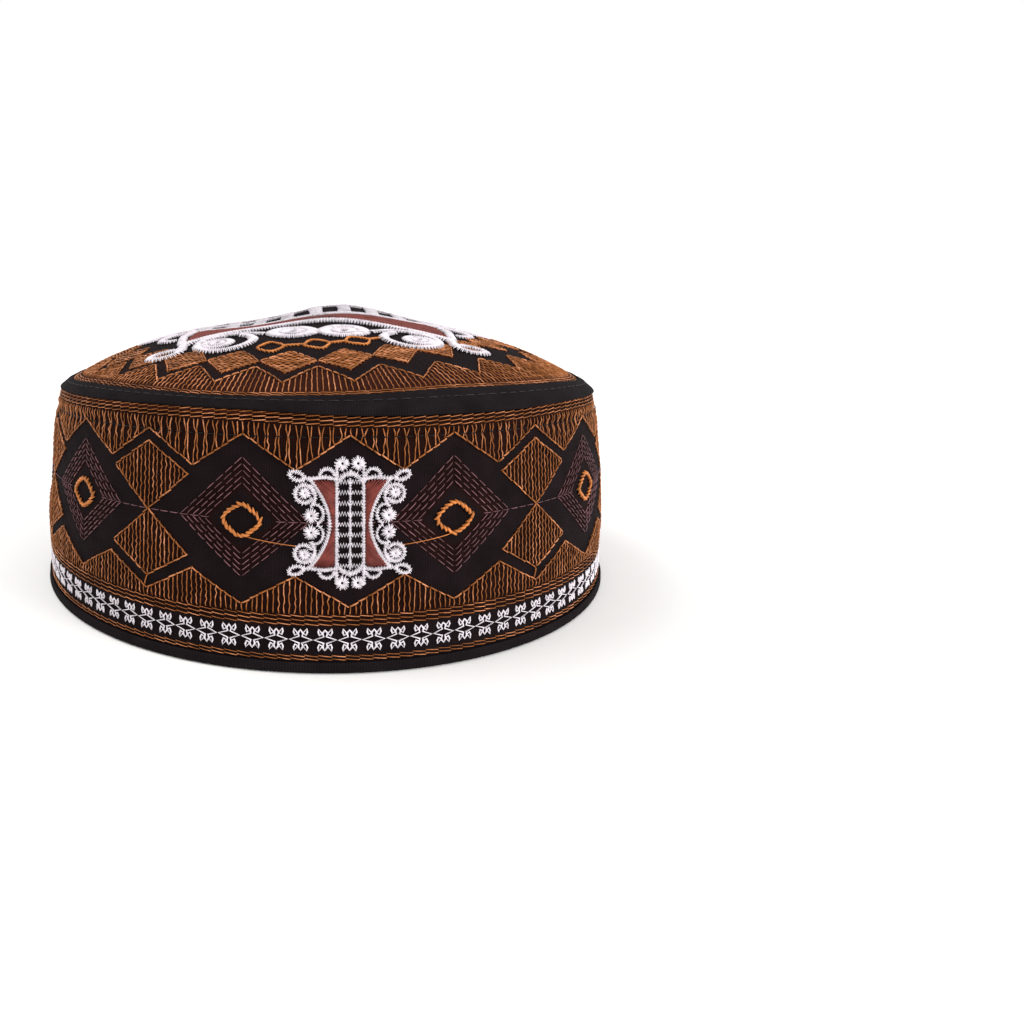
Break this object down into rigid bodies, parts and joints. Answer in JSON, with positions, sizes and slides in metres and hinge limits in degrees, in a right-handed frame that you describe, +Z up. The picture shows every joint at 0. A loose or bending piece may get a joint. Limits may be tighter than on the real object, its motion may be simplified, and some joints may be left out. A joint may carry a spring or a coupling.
{
  "type": "songkok",
  "caption": "Oval brimless cap with an embroidered side band, a low domed crown with a soft peak, and black bindings. It is open underneath for a head.",
  "frame": {"origin": "centre of the oval on the plane the cap stands on", "axes": "+Z up to the crown, X along the oval's length, the face with the embroidered medallion towards -Y"},
  "size_m": [0.204, 0.1898, 0.0908],
  "materials": {
    "band_cloth": "matte woven cloth, black with a brown ground under the fillings",
    "crown_cloth": "matte woven cloth, black with a brown ground under the fillings",
    "binding_cloth": "matte black bias strip",
    "gold_thread": "glossy rayon embroidery thread",
    "white_thread": "glossy rayon embroidery thread",
    "plum_thread": "glossy rayon embroidery thread",
    "red_thread": "glossy satin stitch",
    "black_thread": "matte sewing thread"
  },
  "bodies": {
    "root": {"side_band": "band_cloth", "crown": "crown_cloth", "top_binding": "binding_cloth", "hem_binding": "binding_cloth"}
  },
  "joints": []
}
